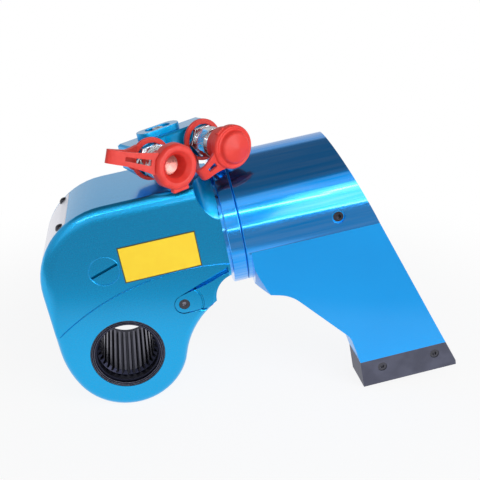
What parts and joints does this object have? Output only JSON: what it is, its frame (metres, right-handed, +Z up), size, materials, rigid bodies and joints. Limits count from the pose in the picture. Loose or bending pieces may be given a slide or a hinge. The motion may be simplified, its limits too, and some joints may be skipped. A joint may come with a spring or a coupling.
{
  "type": "hydraulic torque wrench",
  "caption": "Square-drive hydraulic torque wrench with a teal ratchet head, splined cylinder, sliding blue reaction arm, push-up release lever and a capped swivel hose connection.",
  "frame": {"origin": "on the drive axis, at the middle of the ratchet head's width", "axes": "+X to the rear along the ground, +Z up, -Y out of the side with the release lever; the cylinder's axis rises to the rear as the tool stands on its nose and reaction shoe"},
  "size_m": [0.3387, 0.1163, 0.2272],
  "materials": {
    "teal_anodised": "satin",
    "blue_anodised": "polished",
    "silver_plate": "satin",
    "bright_steel": "ground",
    "black_steel": "black oxide",
    "grey_steel": "phosphated",
    "bronze": "machined",
    "seal_rubber": "matte",
    "coupler_chrome": "polished",
    "red_plastic": "soft"
  },
  "bodies": {
    "housing": {"housing": "teal_anodised", "front_shroud": "silver_plate", "shroud_screws": "black_steel", "access_plug": "teal_anodised", "bushing_near": "black_steel", "bushing_far": "black_steel", "cylinder_barrel": "blue_anodised", "rod_seal": "seal_rubber", "end_cap": "blue_anodised", "end_cap_seal": "seal_rubber", "stop_collar": "blue_anodised", "swivel_post": "bright_steel", "post_seals": "seal_rubber"},
    "piston": {"piston": "bright_steel", "piston_seal": "seal_rubber", "wear_rings": "bronze", "piston_rod": "bright_steel"},
    "drive_plates": {"drive_plate_near": "bright_steel", "drive_plate_far": "bright_steel", "rod_pin": "bright_steel", "pin_clips": "black_steel", "drive_pawl": "black_steel", "pawl_bridge": "bright_steel", "pawl_springs": "bright_steel"},
    "ratchet": {"ratchet": "black_steel"},
    "reaction_pawl": {"reaction_pawl": "black_steel", "pawl_shaft": "bright_steel", "release_lever": "teal_anodised", "lever_screw": "black_steel"},
    "reaction_arm": {"reaction_arm": "blue_anodised", "arm_lock_screw": "black_steel", "reaction_shoe": "grey_steel", "shoe_screws": "black_steel"},
    "swivel": {"swivel_block": "teal_anodised", "post_retainer": "teal_anodised", "retainer_screw": "bright_steel", "female_coupler": "coupler_chrome", "male_coupler": "coupler_chrome", "plug_strap": "red_plastic", "cap_strap": "red_plastic"},
    "dust_plug": {"dust_plug": "red_plastic"},
    "dust_cap": {"dust_cap": "red_plastic"}
  },
  "joints": [
    {"name": "piston_slide", "type": "slide", "parent": "housing", "child": "piston", "axis": [-0.9828, 0, -0.1846], "range_m": [0, 0.03195]},
    {"name": "drive_swing", "type": "hinge", "parent": "housing", "child": "drive_plates", "pos_m": [0, 0, 0], "axis": [0, -1, 0], "range_deg": [0, 24.01]},
    {"name": "ratchet_turn", "type": "hinge", "parent": "housing", "child": "ratchet", "pos_m": [0, 0, 0], "axis": [0, -1, 0], "range_deg": [0, 24.01]},
    {"name": "lever_lift", "type": "hinge", "parent": "housing", "child": "reaction_pawl", "pos_m": [0.0458, 0, 0.04004], "axis": [0, -1, 0], "range_deg": [0, 4], "stiffness_Nm_per_rad": 0.6, "springref_deg": -20.05},
    {"name": "arm_slide", "type": "slide", "parent": "housing", "child": "reaction_arm", "axis": [0.9828, 0, 0.1846], "range_m": [0, 0.05]},
    {"name": "swivel_turn", "type": "hinge", "parent": "housing", "child": "swivel", "pos_m": [0.03608, 0, 0.14922], "axis": [0.1846, 0, -0.9828], "range_deg": [0, 225]},
    {"name": "plug_pull", "type": "slide", "parent": "swivel", "child": "dust_plug", "axis": [0.4462, -0.891, 0.0838], "range_m": [0, 0.02], "deforming": ["plug_strap"]},
    {"name": "cap_pull", "type": "slide", "parent": "swivel", "child": "dust_cap", "axis": [0.4462, -0.891, 0.0838], "range_m": [0, 0.022], "deforming": ["cap_strap"]}
  ],
  "couplings": [
    {"joint": "drive_swing", "follows": "piston_slide", "rad_per_m": 13.11},
    {"joint": "ratchet_turn", "follows": "piston_slide", "rad_per_m": 13.11}
  ]
}
